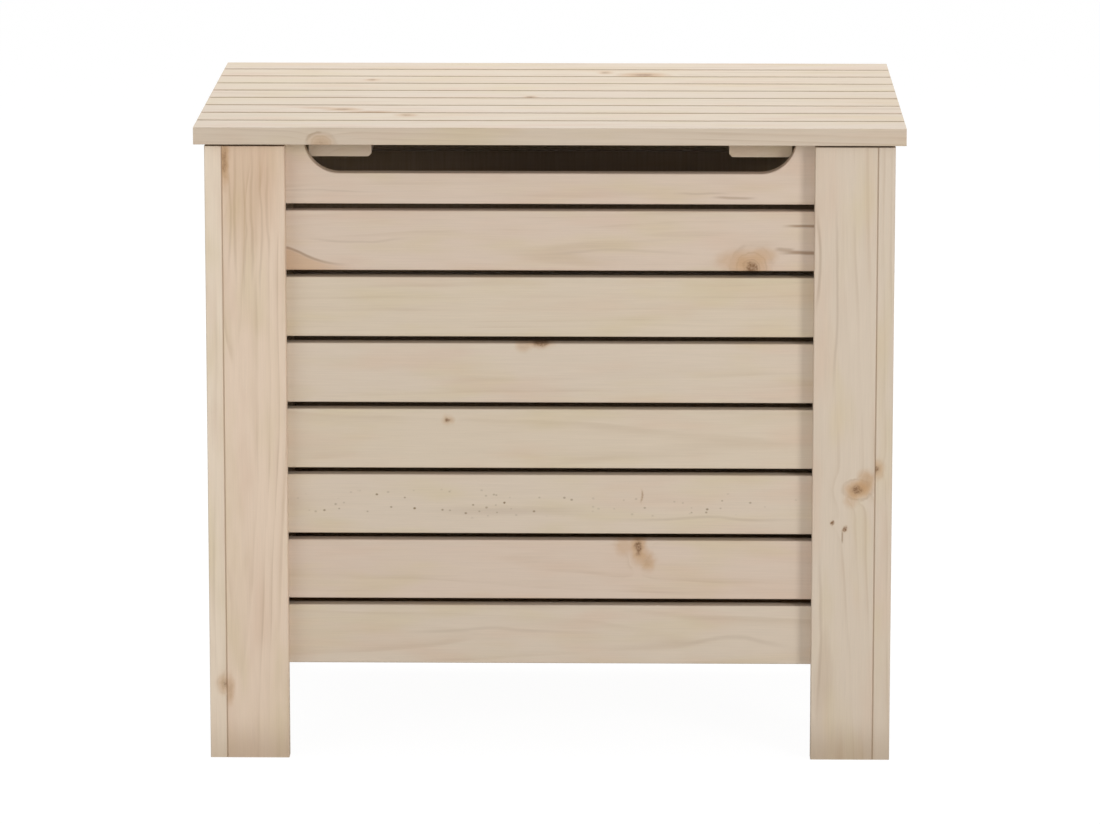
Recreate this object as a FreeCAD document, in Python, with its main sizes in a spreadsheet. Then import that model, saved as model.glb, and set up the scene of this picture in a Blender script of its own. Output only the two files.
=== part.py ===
# Slatted pine storage box with a hinged lid.
# Millimetres, +Z up, front towards -Y, origin on the floor under the middle of the lid.

import FreeCAD, Part
import math
import os
import re

import Sketcher

# Driving sizes, each written once and kept in the sheet of the document.
SIZES = {
    # the boards that everything is made of
    "board_thickness": 17.0,
    "board_width": 62.0,
    "edge_chamfer": 0.75,
    "end_clearance": 0.5,
    # the lid
    "lid_width": 700.0,
    "lid_depth": 490.0,
    "lid_slat_count": 9,
    "lid_slat_gap": 5.0,
    "lid_chamfer": 0.4,
    "side_overhang": 10.0,
    "front_overhang": 10.0,
    "rear_overhang": 25.0,
    # the battens under the lid
    "batten_margin": 111.0,
    "batten_thickness": 18.0,
    "batten_chamfer": 3.0,
    "batten_inset": 2.0,
    "batten_rear_gap": 6.0,
    # the four walls
    "wall_base": 94.0,
    "slat_count": 8,
    "slat_width": 59.5,
    "slat_gap": 7.0,
    "back_slat_gap": 1.0,
    # the hand grip cut out of the top front slat
    "grip_margin": 79.5,
    "grip_depth": 29.0,
    "grip_radius": 35.0,
    # the inside
    "post_size": 28.0,
    "post_drop": 3.0,
    "cleat_size": 20.0,
    "cleat_lift": 6.0,
    "floor_thickness": 9.0,
    "floor_clearance": 1.0,
    # the pads that the lid rests on
    "bumper_height": 3.0,
    "bumper_radius": 6.0,
    "bumper_inset": 18.0,
    # the two hinges
    "hinge_length": 50.0,
    "hinge_leaf_reach": 20.0,
    "hinge_leaf_thickness": 1.5,
    "hinge_pin_radius": 2.0,
    "hinge_pin_clearance": 0.05,
    "hinge_knuckle_count": 5,
    "hinge_knuckle_gap": 0.3,
    "hinge_corner_radius": 2.0,
    "hinge_screw_count": 2,
    "hinge_screw_spacing": 30.0,
    "hinge_screw_reach": 12.5,
    # the hinge screws
    "screw_head_radius": 2.8,
    "screw_shank_radius": 1.4,
    "screw_length": 13.0,
    "screw_clearance": 0.1,
}

# Sizes and places that follow from the driving ones.
DERIVED = {
    "box_width": "lid_width - 2 * side_overhang",
    "front_face": "front_overhang - lid_depth / 2",
    "back_face": "lid_depth / 2 - rear_overhang",
    "box_depth": "back_face - front_face",
    "box_middle": "(front_face + back_face) / 2",
    "slat_pitch": "slat_width + slat_gap",
    "wall_height": "slat_count * slat_pitch - slat_gap",
    "back_slat_width": "(wall_height + back_slat_gap) / slat_count - back_slat_gap",
    "back_slat_pitch": "back_slat_width + back_slat_gap",
    "leg_height": "wall_base + wall_height",
    "lid_underside": "leg_height + bumper_height",
    "lid_slat_width": "(lid_depth + lid_slat_gap) / lid_slat_count - lid_slat_gap",
    "lid_pitch": "lid_slat_width + lid_slat_gap",
    "leg_inside": "box_width / 2 - board_thickness",
    "slat_length": "2 * leg_inside - 2 * end_clearance",
    "room_side": "leg_inside - board_thickness",
    "room_front": "front_face + 2 * board_thickness",
    "room_back": "back_face - 2 * board_thickness",
    "room_depth": "room_back - room_front",
    "batten_front": "room_front + batten_inset",
    "batten_length": "room_back - batten_rear_gap - batten_front",
    "batten_edge": "lid_width / 2 - batten_margin",
    "grip_corner": "slat_length / 2 - grip_margin - grip_radius",
    "cleat_length": "2 * (room_side - post_size - end_clearance)",
    "floor_base": "wall_base + cleat_lift + cleat_size",
    "floor_notch": "post_size + floor_clearance",
    "knuckle_radius": "hinge_pin_radius + hinge_pin_clearance + hinge_leaf_thickness",
    "knuckle_length": "hinge_length / hinge_knuckle_count",
    "hinge_offset": "knuckle_radius + hinge_knuckle_gap",
    "hinge_y": "back_face + hinge_offset",
    "hinge_z": "lid_underside - hinge_offset",
    "hinge_middle": "leg_inside - board_width / 2",
    "hinge_start": "0 - hinge_middle - hinge_length / 2",
    "leaf_face": "hinge_offset - hinge_leaf_thickness",
    "first_screw": "0 - hinge_middle - (hinge_screw_count - 1) / 2 * hinge_screw_spacing",
    "pilot_radius": "screw_shank_radius + screw_clearance",
    "pilot_depth": "screw_length - hinge_leaf_thickness + end_clearance",
    "head_hole_radius": "screw_head_radius + screw_clearance",
    "screw_head_height": "screw_head_radius - screw_shank_radius",
}

doc = FreeCAD.newDocument("storage_box")


def make_sheet():
    """Write the driving sizes into a sheet, one row each, with its name as alias."""
    sheet = doc.addObject("Spreadsheet::Sheet", "Sizes")
    for row, (name, number) in enumerate(SIZES.items(), start=1):
        sheet.set(f"A{row}", name)
        sheet.set(f"B{row}", str(number))
        sheet.setAlias(f"B{row}", name)
    doc.recompute()
    return sheet


SHEET = make_sheet()
COUNTS = {name: int(SHEET.get(name)) for name in SIZES if name.endswith("_count")}


def formula(text):
    """Turn the names in a formula into cells of the sheet, through the derived sizes."""
    def cell(match):
        name = match.group()
        if name in SIZES:
            return "Sizes." + name
        if name in DERIVED:
            return "(" + formula(DERIVED[name]) + ")"
        return name
    return re.sub(r"[a-z_]+", cell, text)


def number(text):
    """The present value of a formula."""
    return float(SHEET.evalExpression(formula(text)))


def new_body(label, x, y, z):
    """An empty body whose origin follows three formulas."""
    body = doc.addObject("PartDesign::Body", label)
    body.Label = label
    body.AllowCompound = True
    for axis, place in zip("xyz", (x, y, z)):
        body.setExpression(f"Placement.Base.{axis}", formula(place))
    return body


def origin_plane(body, role):
    """The body's own origin plane or axis of that role."""
    return next(item for item in body.Origin.OriginFeatures if item.Role == role)


def new_sketch(body, role, lift="0"):
    """A sketch on one of the body's origin planes, lifted along the plane's normal."""
    sketch = body.newObject("Sketcher::SketchObject", body.Label + "_sketch")
    sketch.AttachmentSupport = [(origin_plane(body, role), "")]
    sketch.MapMode = "FlatFace"
    sketch.setExpression("AttachmentOffset.Base.z", formula(lift))
    return sketch


def bind(sketch, kind, geometry, text):
    """Add a dimension to the sketch that follows a formula."""
    index = sketch.addConstraint(Sketcher.Constraint(kind, *geometry, number(text)))
    sketch.setExpression(f"Constraints[{index}]", formula(text))


def point(x, y):
    """A point of the sketch plane at two formulas."""
    return FreeCAD.Vector(number(x), number(y), 0)


def pin_down(sketch, geometry, end, x, y):
    """Hold one end of a line or the middle of a circle at two formulas."""
    bind(sketch, "DistanceX", (-1, 1, geometry, end), x)
    bind(sketch, "DistanceY", (-1, 1, geometry, end), y)


def rectangle(sketch, x, y, width, height):
    """A rectangle from its lower left corner and its two sides."""
    right, top = f"{x} + {width}", f"{y} + {height}"
    corners = [point(x, y), point(right, y), point(right, top), point(x, top)]
    sides = [Part.LineSegment(corners[i], corners[(i + 1) % 4]) for i in range(4)]
    first = sketch.addGeometry(sides)[0]
    for side in range(4):
        following = (side + 1) % 4
        sketch.addConstraint(Sketcher.Constraint("Coincident", first + side, 2, first + following, 1))
        level = "Vertical" if side % 2 else "Horizontal"
        sketch.addConstraint(Sketcher.Constraint(level, first + side))
    pin_down(sketch, first, 1, x, y)
    bind(sketch, "DistanceX", (first, 1, first, 2), width)
    bind(sketch, "DistanceY", (first + 1, 1, first + 1, 2), height)


def circle(sketch, x, y, radius):
    """A circle from its middle and radius."""
    up = FreeCAD.Vector(0, 0, 1)
    index = sketch.addGeometry(Part.Circle(point(x, y), up, number(radius)))
    pin_down(sketch, index, 3, x, y)
    bind(sketch, "Radius", (index,), radius)


def pad(body, sketch, length, reverse=False):
    """Raise a sketch by a length."""
    feature = body.newObject("PartDesign::Pad", body.Label + "_pad")
    feature.Profile = sketch
    feature.setExpression("Length", formula(length))
    feature.Reversed = reverse
    doc.recompute()
    return feature


def pocket(body, sketch, depth=None, reverse=False):
    """Cut a sketch into the body, right through both ways where no depth is given."""
    before = body.Shape.Volume
    feature = body.newObject("PartDesign::Pocket", body.Label + "_pocket")
    feature.Profile = sketch
    if depth is None:
        feature.Type = "ThroughAll"
        feature.Midplane = True
    else:
        feature.setExpression("Length", formula(depth))
        feature.Reversed = reverse
    doc.recompute()
    if body.Shape.Volume >= before:
        raise RuntimeError(f"{body.Label}: a pocket cuts nothing")
    return feature


def dress(body, kind, size_name, size, chosen):
    """Fillet or chamfer those edges of the body that the function chosen accepts."""
    base = body.Tip
    names = [f"Edge{i}" for i, edge in enumerate(base.Shape.Edges, start=1) if chosen(edge)]
    feature = body.newObject(f"PartDesign::{kind}", f"{body.Label}_{kind.lower()}")
    feature.Base = (base, names)
    feature.setExpression(size_name, formula(size))
    doc.recompute()
    return feature


def mirror(body, role):
    """Repeat the whole body on the other side of one of its origin planes."""
    feature = body.newObject("PartDesign::Mirrored", body.Label + "_mirrored")
    feature.TransformMode = "Whole shape"
    feature.MirrorPlane = (origin_plane(body, role), [""])
    body.Tip = feature
    doc.recompute()


# Section plane of a board by the axis it runs along, and whether its pad is turned round.
SECTIONS = {"X": ("YZ_Plane", False), "Y": ("XZ_Plane", True), "Z": ("XY_Plane", False)}
DIRECTIONS = {"X": FreeCAD.Vector(1, 0, 0), "Y": FreeCAD.Vector(0, 1, 0), "Z": FreeCAD.Vector(0, 0, 1)}


def blank(label, run, section, length, corner):
    """A square-edged board: its section's two sides, its length and its lowest corner."""
    role, reverse = SECTIONS[run]
    body = new_body(label, *corner)
    sketch = new_sketch(body, role)
    rectangle(sketch, "0", "0", *section)
    pad(body, sketch, length, reverse)
    return body


def runs_along(run):
    """A test for straight edges along one axis."""
    direction = DIRECTIONS[run]

    def test(edge):
        if not isinstance(edge.Curve, Part.Line):
            return False
        return edge.Curve.Direction.cross(direction).Length < 1e-6
    return test


def board(label, run, section, length, corner, easing="edge_chamfer"):
    """A board with its four long edges eased."""
    body = blank(label, run, section, length, corner)
    dress(body, "Chamfer", "Size", easing, runs_along(run))
    return body


def slat_level(row, pitch="slat_pitch"):
    """Underside of a wall slat, counted from the top."""
    return f"wall_base + (slat_count - {row}) * {pitch}"


def make_legs():
    """Eight leg boards: at each corner one facing front or back and one facing sideways."""
    faces = {
        "front": ("front_face", "front_face"),
        "back": ("back_face - board_thickness", "back_face - board_width"),
    }
    sides = {
        "left": ("0 - leg_inside", "0 - box_width / 2"),
        "right": ("leg_inside - board_width", "leg_inside"),
    }
    legs = {}
    for face, (facing_y, sideways_y) in faces.items():
        for side, (facing_x, sideways_x) in sides.items():
            legs[f"{face}_leg_{side}"] = board(
                f"{face}_leg_{side}", "Z", ("board_width", "board_thickness"),
                "leg_height", (facing_x, facing_y, "0"))
            legs[f"side_leg_{face}_{side}"] = board(
                f"side_leg_{face}_{side}", "Z", ("board_thickness", "board_width"),
                "leg_height", (sideways_x, sideways_y, "0"))
    return legs


def front_wall_slat(row):
    """A slat of the front wall, between the side leg boards."""
    return board(f"front_slat_{row}", "X", ("board_thickness", "slat_width"), "slat_length",
                 ("0 - slat_length / 2", "front_face + board_thickness", slat_level(row)))


def back_wall_slat(row):
    """A slat of the back wall, whose slats are wider and set close together."""
    return board(f"back_slat_{row}", "X", ("board_thickness", "back_slat_width"), "slat_length",
                 ("0 - slat_length / 2", "room_back", slat_level(row, "back_slat_pitch")))


def draw_grip(sketch, grow):
    """The outline of the hand grip, grown outwards by a formula and open past the slat's top."""
    left, right = "slat_length / 2 - grip_corner", "slat_length / 2 + grip_corner"
    radius = f"grip_radius + {grow}"
    far_left, far_right = f"{left} - ({radius})", f"{right} + {radius}"
    lip = f"slat_width - grip_depth - ({grow})"
    turn, top = f"{lip} + {radius}", f"{lip} + 3 * grip_radius"
    up = FreeCAD.Vector(0, 0, 1)
    right_round = Part.Circle(point(right, turn), up, number(radius))
    left_round = Part.Circle(point(left, turn), up, number(radius))
    sketch.addGeometry([
        Part.LineSegment(point(left, lip), point(right, lip)),
        Part.ArcOfCircle(right_round, -math.pi / 2, 0),
        Part.LineSegment(point(far_right, turn), point(far_right, top)),
        Part.LineSegment(point(far_right, top), point(far_left, top)),
        Part.LineSegment(point(far_left, top), point(far_left, turn)),
        Part.ArcOfCircle(left_round, math.pi, 1.5 * math.pi),
    ])
    for joint in (("Tangent", 0, 2, 1, 1), ("Tangent", 1, 2, 2, 1), ("Coincident", 2, 2, 3, 1),
                  ("Coincident", 3, 2, 4, 1), ("Tangent", 4, 2, 5, 1), ("Tangent", 5, 2, 0, 1),
                  ("Horizontal", 0), ("Horizontal", 3)):
        sketch.addConstraint(Sketcher.Constraint(*joint))
    pin_down(sketch, 0, 1, left, lip)
    bind(sketch, "DistanceX", (0, 1, 0, 2), "2 * grip_corner")
    bind(sketch, "Radius", (1,), radius)
    bind(sketch, "Radius", (5,), radius)
    bind(sketch, "DistanceY", (0, 1, 3, 1), "3 * grip_radius")


def make_grip_slat():
    """The top front slat, with the hand grip cut down from its upper edge and both its rims eased."""
    body = front_wall_slat(1)
    outline = new_sketch(body, "XZ_Plane")
    draw_grip(outline, "0")
    pocket(body, outline)
    rims = (("0", "edge_chamfer"), ("board_thickness", "board_thickness - edge_chamfer"))
    for face, inside in rims:
        wide = new_sketch(body, "XZ_Plane", f"0 - ({face})")
        draw_grip(wide, "edge_chamfer")
        true = new_sketch(body, "XZ_Plane", f"0 - ({inside})")
        draw_grip(true, "0")
        before = body.Shape.Volume
        loft = body.newObject("PartDesign::SubtractiveLoft", "front_slat_1_rim")
        loft.Profile = wide
        loft.Sections = [true]
        loft.Ruled = True
        doc.recompute()
        if body.Shape.Volume >= before:
            raise RuntimeError("front_slat_1: a rim cuts nothing")
    return body


def make_walls():
    """The slats of the four walls, numbered from the top."""
    slats = {"front_slat_1": make_grip_slat()}
    for row in range(1, COUNTS["slat_count"] + 1):
        if row > 1:
            slats[f"front_slat_{row}"] = front_wall_slat(row)
        slats[f"back_slat_{row}"] = back_wall_slat(row)
        for side, x in (("left", "0 - leg_inside"), ("right", "room_side")):
            slats[f"{side}_slat_{row}"] = board(
                f"{side}_slat_{row}", "Y", ("board_thickness", "slat_width"),
                "room_depth - 2 * end_clearance",
                (x, "room_front + end_clearance", slat_level(row)))
    return slats


def make_inside():
    """Corner posts, floor cleats and the floor panel that lies on them."""
    posts = new_body("corner_posts", "0", "box_middle", "wall_base")
    sketch = new_sketch(posts, "XY_Plane")
    rectangle(sketch, "0 - room_side", "0 - room_depth / 2", "post_size", "post_size")
    pad(posts, sketch, "wall_height - post_drop")
    dress(posts, "Chamfer", "Size", "edge_chamfer", runs_along("Z"))
    mirror(posts, "YZ_Plane")
    mirror(posts, "XZ_Plane")

    cleats = new_body("floor_cleats", "0", "box_middle", "wall_base + cleat_lift")
    sketch = new_sketch(cleats, "YZ_Plane", "0 - cleat_length / 2")
    rectangle(sketch, "0 - room_depth / 2", "0", "cleat_size", "cleat_size")
    pad(cleats, sketch, "cleat_length")
    mirror(cleats, "XZ_Plane")

    panel = new_body("floor_panel", "0", "box_middle", "floor_base")
    width, depth = "2 * (room_side - floor_clearance)", "room_depth - 2 * floor_clearance"
    sketch = new_sketch(panel, "XY_Plane")
    rectangle(sketch, f"0 - ({width}) / 2", f"0 - ({depth}) / 2", width, depth)
    pad(panel, sketch, "floor_thickness")
    notches = new_sketch(panel, "XY_Plane")
    for x in ("0 - room_side", "room_side - floor_notch"):
        for y in ("0 - room_depth / 2", "room_depth / 2 - floor_notch"):
            rectangle(notches, x, y, "floor_notch", "floor_notch")
    pocket(panel, notches)
    return {"corner_posts": posts, "floor_cleats": cleats, "floor_panel": panel}


def make_bumpers():
    """Four round pads on the side leg boards, which hold the lid clear of the walls."""
    pads = new_body("lid_bumpers", "0", "box_middle", "leg_height")
    sketch = new_sketch(pads, "XY_Plane")
    circle(sketch, "(board_thickness - box_width) / 2", "bumper_inset - box_depth / 2", "bumper_radius")
    pad(pads, sketch, "bumper_height")
    mirror(pads, "YZ_Plane")
    mirror(pads, "XZ_Plane")
    return {"lid_bumpers": pads}


def make_lid():
    """The lid slats, numbered from the front, and the two battens that carry them."""
    pieces = {}
    for row in range(1, COUNTS["lid_slat_count"] + 1):
        pieces[f"lid_slat_{row}"] = board(
            f"lid_slat_{row}", "X", ("lid_slat_width", "board_thickness"), "lid_width",
            ("0 - lid_width / 2", f"({row} - 1) * lid_pitch - lid_depth / 2", "lid_underside"), "lid_chamfer")
    for side, x in (("left", "0 - batten_edge"), ("right", "batten_edge - board_width")):
        batten = blank(f"lid_batten_{side}", "Y", ("board_width", "batten_thickness"), "batten_length",
                       (x, "batten_front", "lid_underside - batten_thickness"))
        lengthwise = runs_along("Y")
        dress(batten, "Chamfer", "Size", "batten_chamfer",
              lambda edge, test=lengthwise: test(edge) and edge.BoundBox.ZMax < 1e-4)
        pieces[f"lid_batten_{side}"] = batten
    return pieces


def screw_places():
    """Distances of one leaf's screws along the hinge."""
    return [f"first_screw + {index} * hinge_screw_spacing" for index in range(COUNTS["hinge_screw_count"])]


def drill_pilots(body, role, lift, places, reverse):
    """Blind pilot holes for screws, at places on a plane of the body."""
    sketch = new_sketch(body, role, lift)
    for x, y in places:
        circle(sketch, x, y, "pilot_radius")
    pocket(body, sketch, "pilot_depth", reverse)


def make_leaf(label, role, lift, plate_start, notch_start, notched, reach, reverse):
    """One leaf on each side: plate, rolled knuckles, pin bore and countersunk screw holes.

    The body's origin is on the pin's axis. The leaf is drawn on the left and mirrored.
    """
    body = new_body(label, "0", "hinge_y", "hinge_z")
    plate = new_sketch(body, role, lift)
    rectangle(plate, "hinge_start", plate_start, "hinge_length", "hinge_leaf_reach")
    pad(body, plate, "hinge_leaf_thickness", reverse)
    far_edge = number(plate_start) if number(plate_start) < 0 else number("hinge_leaf_reach")

    def far_corner(edge):
        middle = edge.BoundBox.Center
        along = middle.z if role == "XZ_Plane" else middle.y
        short = edge.Length < 2 * number("hinge_leaf_thickness")
        return short and abs(along - far_edge) < 1e-4
    dress(body, "Fillet", "Radius", "hinge_corner_radius", far_corner)
    barrel = new_sketch(body, "YZ_Plane", "hinge_start")
    circle(barrel, "0", "0", "knuckle_radius")
    pad(body, barrel, "hinge_length")
    bore = new_sketch(body, "YZ_Plane")
    circle(bore, "0", "0", "hinge_pin_radius + hinge_pin_clearance")
    pocket(body, bore)
    notches = new_sketch(body, role)
    for knuckle in notched:
        start = f"hinge_start + {knuckle} * knuckle_length - hinge_knuckle_gap / 2"
        rectangle(notches, start, notch_start, "knuckle_length + hinge_knuckle_gap",
                  "2 * hinge_offset + hinge_knuckle_gap")
    pocket(body, notches)
    holes = new_sketch(body, role, lift)
    for x in screw_places():
        circle(holes, x, reach, "pilot_radius")
    pocket(body, holes)
    rims = number("leaf_face")

    def open_rim(edge):
        if not isinstance(edge.Curve, Part.Circle):
            return False
        middle = edge.BoundBox.Center
        outward = -middle.y if role == "XZ_Plane" else middle.z
        round_hole = abs(edge.Curve.Radius - number("pilot_radius")) < 1e-4
        return round_hole and abs(outward - rims) < 1e-4
    dress(body, "Chamfer", "Size", "head_hole_radius - pilot_radius", open_rim)
    mirror(body, "YZ_Plane")
    return body


def make_screws(label, role, tilt):
    """Countersunk screws of one leaf on each side, turned from a half section.

    The section lies in a plane with the pin's axis, tilt says which way the screws point.
    """
    body = new_body(label, "0", "hinge_y", "hinge_z")
    for x in screw_places():
        sketch = new_sketch(body, role, "0 - hinge_screw_reach")
        edge_x, shank_x = f"{x} + screw_head_radius", f"{x} + screw_shank_radius"
        top = f"{tilt} * leaf_face"
        neck = f"{tilt} * (leaf_face + screw_head_height)"
        tip = f"{tilt} * (leaf_face + screw_length)"
        places = [(x, top), (edge_x, top), (shank_x, neck), (shank_x, tip), (x, tip)]
        corners = [point(*place) for place in places]
        sides = [Part.LineSegment(corners[i], corners[(i + 1) % 5]) for i in range(5)]
        sketch.addGeometry(sides)
        for side, (place_x, place_y) in enumerate(places):
            sketch.addConstraint(Sketcher.Constraint("Coincident", side, 2, (side + 1) % 5, 1))
            pin_down(sketch, side, 1, place_x, place_y)
        sketch.addGeometry(Part.LineSegment(corners[4], corners[0]), True)
        sketch.addConstraint(Sketcher.Constraint("Coincident", 5, 1, 4, 1))
        sketch.addConstraint(Sketcher.Constraint("Coincident", 5, 2, 0, 1))
        turn = body.newObject("PartDesign::Revolution", label + "_turn")
        turn.Profile = sketch
        turn.ReferenceAxis = (sketch, ["Axis0"])
        turn.Angle = 360
        doc.recompute()
    mirror(body, "YZ_Plane")
    return body


def make_pins():
    """One steel pin through the knuckles of each hinge."""
    body = new_body("hinge_pins", "0", "hinge_y", "hinge_z")
    sketch = new_sketch(body, "YZ_Plane", "hinge_start")
    circle(sketch, "0", "0", "hinge_pin_radius")
    pad(body, sketch, "hinge_length")
    mirror(body, "YZ_Plane")
    return body


def make_hinges():
    """Leaves, pins and screws of the two hinges."""
    knuckles = range(COUNTS["hinge_knuckle_count"])
    leg_notches = [index for index in knuckles if index % 2]
    lid_notches = [index for index in knuckles if not index % 2]
    return {
        "hinge_leg_leaves": make_leaf(
            "hinge_leg_leaves", "XZ_Plane", "hinge_offset", "0 - hinge_leaf_reach",
            "0 - hinge_offset", leg_notches, "0 - hinge_screw_reach", True),
        "hinge_lid_leaves": make_leaf(
            "hinge_lid_leaves", "XY_Plane", "leaf_face", "0",
            "0 - hinge_offset - hinge_knuckle_gap", lid_notches, "hinge_screw_reach", False),
        "hinge_pins": make_pins(),
        "hinge_leg_screws": make_screws("hinge_leg_screws", "XY_Plane", "-1"),
        "hinge_lid_screws": make_screws("hinge_lid_screws", "XZ_Plane", "1"),
    }


def drill_hinge_seats(pieces):
    """Pilot holes for the hinge screws in the back legs and the rear lid slat."""
    legs = {"left": ("1", "0 - leg_inside"), "right": ("-1", "leg_inside - board_width")}
    for side, (sign, edge) in legs.items():
        places = [(f"{sign} * ({x}) - ({edge})", "hinge_z - hinge_screw_reach") for x in screw_places()]
        drill_pilots(pieces[f"back_leg_{side}"], "XZ_Plane", "0 - board_thickness", places, True)
    rear = pieces[f"lid_slat_{COUNTS['lid_slat_count']}"]
    depth = "hinge_y + hinge_screw_reach - lid_depth / 2 + lid_slat_width"
    places = []
    for x in screw_places():
        places.append((f"lid_width / 2 + {x}", depth))
        places.append((f"lid_width / 2 - ({x})", depth))
    drill_pilots(rear, "XY_Plane", "0", places, True)


def check(pieces):
    """Stop before anything is written if a feature failed or a shape is unsound."""
    for item in doc.Objects:
        if "Invalid" in item.State or "Error" in item.State:
            raise RuntimeError(f"{item.Label} failed: {item.State}")
    for label, piece in pieces.items():
        if piece.Shape.isNull() or not piece.Shape.isValid():
            raise RuntimeError(f"{label} has no sound shape")


def main():
    """Build every piece, check it and write one file per piece."""
    pieces = {**make_legs(), **make_walls(), **make_inside(), **make_bumpers(), **make_lid()}
    pieces.update(make_hinges())
    drill_hinge_seats(pieces)
    doc.recompute()
    check(pieces)
    os.makedirs("parts", exist_ok=True)
    for label, piece in pieces.items():
        piece.Shape.exportStep(f"parts/{label}.step")
        print(label, len(piece.Shape.Solids), round(piece.Shape.Volume))


main()
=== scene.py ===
"""Looks of a slatted pine storage box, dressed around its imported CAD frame.

Metres, +Z up, front towards -Y. Board figures are given in millimetres of the same frame.
"""

from __future__ import annotations

import logging
import math
import random
from dataclasses import dataclass, field, replace
from enum import Enum
from typing import Any

import bmesh
import bpy
from mathutils import Matrix, Vector

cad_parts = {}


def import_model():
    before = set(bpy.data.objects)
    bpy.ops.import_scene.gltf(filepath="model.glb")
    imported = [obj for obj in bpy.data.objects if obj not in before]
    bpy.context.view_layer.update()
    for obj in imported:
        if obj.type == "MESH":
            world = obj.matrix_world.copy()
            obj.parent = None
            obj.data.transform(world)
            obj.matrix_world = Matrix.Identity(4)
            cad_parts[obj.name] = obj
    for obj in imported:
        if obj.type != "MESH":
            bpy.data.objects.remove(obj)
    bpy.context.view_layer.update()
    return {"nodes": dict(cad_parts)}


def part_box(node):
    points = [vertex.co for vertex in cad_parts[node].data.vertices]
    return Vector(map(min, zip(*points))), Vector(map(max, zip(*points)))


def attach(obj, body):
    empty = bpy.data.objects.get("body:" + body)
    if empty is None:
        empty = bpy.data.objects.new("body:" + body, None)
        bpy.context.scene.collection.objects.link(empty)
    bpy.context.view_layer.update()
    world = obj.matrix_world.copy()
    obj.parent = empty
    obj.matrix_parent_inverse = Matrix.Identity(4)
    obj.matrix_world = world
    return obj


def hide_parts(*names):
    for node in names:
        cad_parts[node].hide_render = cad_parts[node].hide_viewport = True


LOG = logging.getLogger("storage_box")
MM = 0.001
MIX_A, MIX_B, MIX_OUT = 6, 7, 2
Tree, Socket, Outputs = bpy.types.NodeTree, bpy.types.NodeSocket, bpy.types.NodeOutputs
Pair, Triple, Names = tuple[float, float], tuple[float, float, float], tuple[str, ...]
Nodes, Material = dict[str, bpy.types.Object], bpy.types.Material


def linear(code: str) -> tuple[float, float, float, float]:
    """Turn an sRGB hex colour into linear light.

    Args:
        code: Six hex digits, with or without a leading hash.

    Returns:
        Red, green, blue and an alpha of one.
    """
    digits = code.lstrip("#")
    channels = [int(digits[i:i + 2], 16) / 255 for i in (0, 2, 4)]
    light = [c / 12.92 if c <= 0.04045 else ((c + 0.055) / 1.055) ** 2.4 for c in channels]
    return (light[0], light[1], light[2], 1.0)


def add_node(tree: Tree, kind: str, inputs: dict[Any, Any] | None = None,
             **settings: Any) -> bpy.types.Node:
    """Add a node with its settings, and link or fill its inputs.

    Args:
        tree: The node tree that takes the node.
        kind: The node's type.
        inputs: Input name or number to a socket to link from, or a plain value.
        settings: Properties of the node.

    Returns:
        The new node.
    """
    node = tree.nodes.new(kind)
    for name, value in settings.items():
        setattr(node, name, value)
    for key, value in (inputs or {}).items():
        if isinstance(value, Socket):
            tree.links.new(value, node.inputs[key])
        else:
            node.inputs[key].default_value = value
    return node


def number(tree: Tree, operation: str, *values: Any) -> Socket:
    """Work out a number.

    Args:
        tree: The node tree that takes the node.
        operation: What to do.
        values: Sockets or plain values to do it with.

    Returns:
        The result.
    """
    return add_node(tree, "ShaderNodeMath", dict(enumerate(values)), operation=operation).outputs[0]


def vector(tree: Tree, operation: str, *values: Any) -> Socket:
    """Work out a vector, or a length or product of vectors.

    Args:
        tree: The node tree that takes the node.
        operation: What to do.
        values: Sockets or plain vectors to do it with.

    Returns:
        The result.
    """
    node = add_node(tree, "ShaderNodeVectorMath", dict(enumerate(values)), operation=operation)
    return node.outputs["Value" if operation in ("LENGTH", "DOT_PRODUCT") else "Vector"]


def remap(tree: Tree, value: Socket, source: Pair = (0.0, 1.0), target: Pair = (0.0, 1.0),
          soft: bool = False) -> Socket:
    """Spread a number from one range over another.

    Args:
        tree: The node tree that takes the node.
        value: The number.
        source: The range that it comes from.
        target: The range that it goes to.
        soft: Whether the change eases in and out.

    Returns:
        The result.
    """
    ranges = {"From Min": source[0], "From Max": source[1], "To Min": target[0], "To Max": target[1]}
    return add_node(tree, "ShaderNodeMapRange", {"Value": value, **ranges},
                    interpolation_type="SMOOTHSTEP" if soft else "LINEAR").outputs[0]


def noise(tree: Tree, place: Socket, detail: float = 2.0, scale: float = 1.0, roughness: float = 0.5,
          distortion: float = 0.0) -> Outputs:
    """Add soft noise.

    Args:
        tree: The node tree that takes the node.
        place: Where the noise is looked up.
        detail: Octaves of it.
        scale: Its scale.
        roughness: Strength of each octave beside the one before.
        distortion: How far it is warped.

    Returns:
        The outputs, the plain amount first.
    """
    return add_node(tree, "ShaderNodeTexNoise", {"Vector": place, "Scale": scale, "Detail": detail,
                                                 "Roughness": roughness, "Distortion": distortion}).outputs


def mix(tree: Tree, share: Any, first: Any, second: Any, blend: str = "MIX") -> Socket:
    """Mix two colours.

    Args:
        tree: The node tree that takes the node.
        share: How much of the second shows.
        first: The first colour.
        second: The second colour.
        blend: How they meet.

    Returns:
        The mixed colour.
    """
    return add_node(tree, "ShaderNodeMix", {0: share, MIX_A: first, MIX_B: second}, data_type="RGBA",
                    blend_type=blend).outputs[MIX_OUT]


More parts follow.
